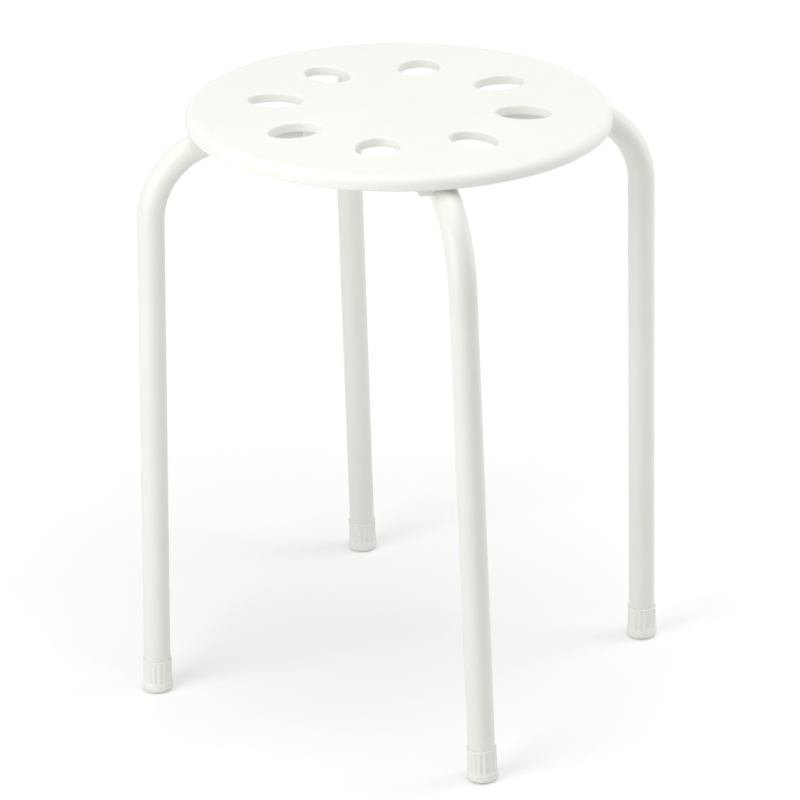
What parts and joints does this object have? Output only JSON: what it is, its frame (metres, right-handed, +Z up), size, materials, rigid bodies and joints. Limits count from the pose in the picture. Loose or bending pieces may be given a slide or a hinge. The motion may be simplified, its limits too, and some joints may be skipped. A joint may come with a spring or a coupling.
{
  "type": "stacking stool",
  "caption": "Round backless stacking stool: pierced plastic seat on crossed bent steel tube frames, with fluted slip-on feet.",
  "frame": {"origin": "on the floor, under the middle of the seat", "axes": "+Z up to the seat; the upper frame's legs stand at -X (left) and +X (right), the lower frame's at -Y (front) and +Y (back)"},
  "size_m": [0.408, 0.4234, 0.45],
  "materials": {
    "seat_plastic": "satin moulded, white",
    "frame_coating": "satin powder coat, white",
    "foot_plastic": "matt moulded, white",
    "zinc_steel": "bright zinc plate",
    "insert_brass": "turned"
  },
  "bodies": {
    "root": {"seat": "seat_plastic", "upper_frame": "frame_coating", "lower_frame": "frame_coating", "foot_left": "foot_plastic", "foot_right": "foot_plastic", "foot_front": "foot_plastic", "foot_back": "foot_plastic", "centre_screw": "zinc_steel", "centre_washer": "zinc_steel", "centre_insert": "insert_brass"}
  },
  "joints": []
}
